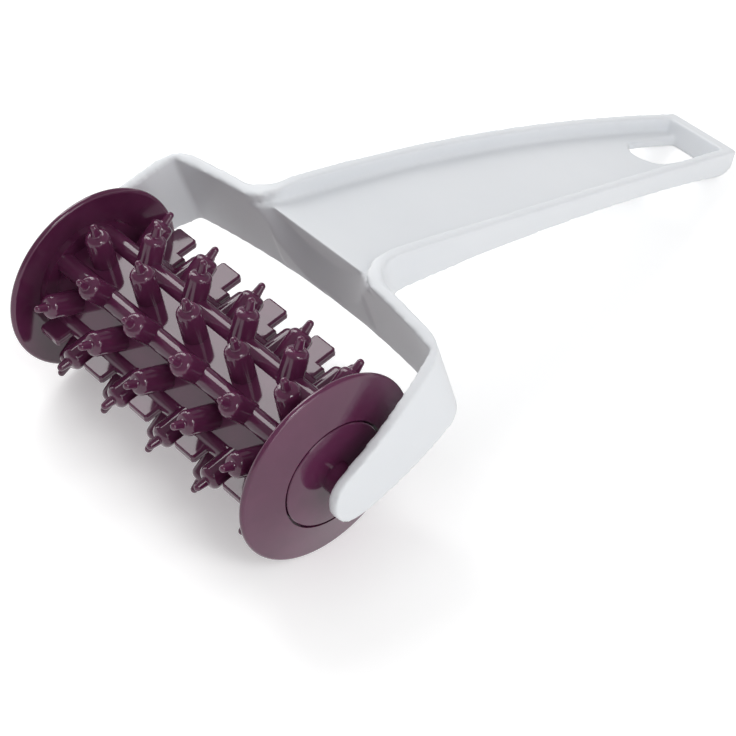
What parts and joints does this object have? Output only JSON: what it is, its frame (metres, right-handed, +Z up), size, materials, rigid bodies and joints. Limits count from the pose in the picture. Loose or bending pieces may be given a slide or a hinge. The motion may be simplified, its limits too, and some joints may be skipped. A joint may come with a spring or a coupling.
{
  "type": "dough docker",
  "caption": "Hand dough docker: a spiked roller with two end discs turns freely between the arms of a moulded plastic fork with an open channel handle.",
  "frame": {"origin": "on the worktop, below the middle of the whole tool's box", "axes": "+X along the roller's axle, +Y from the roller to the handle's tail, +Z up from the worktop"},
  "size_m": [0.1124, 0.204, 0.05],
  "materials": {
    "white_plastic": "satin moulded",
    "plum_plastic": "glossy moulded"
  },
  "bodies": {
    "handle": {"fork_handle": "white_plastic"},
    "roller": {"roller_half_upper": "plum_plastic", "roller_half_lower": "plum_plastic", "end_disc_left": "plum_plastic", "end_disc_right": "plum_plastic", "hub_cap_left": "plum_plastic", "hub_cap_right": "plum_plastic"}
  },
  "joints": [
    {"name": "roller_spin", "type": "hinge", "parent": "handle", "child": "roller", "pos_m": [0, -0.077, 0.025], "axis": [1, 0, 0], "continuous": true}
  ]
}
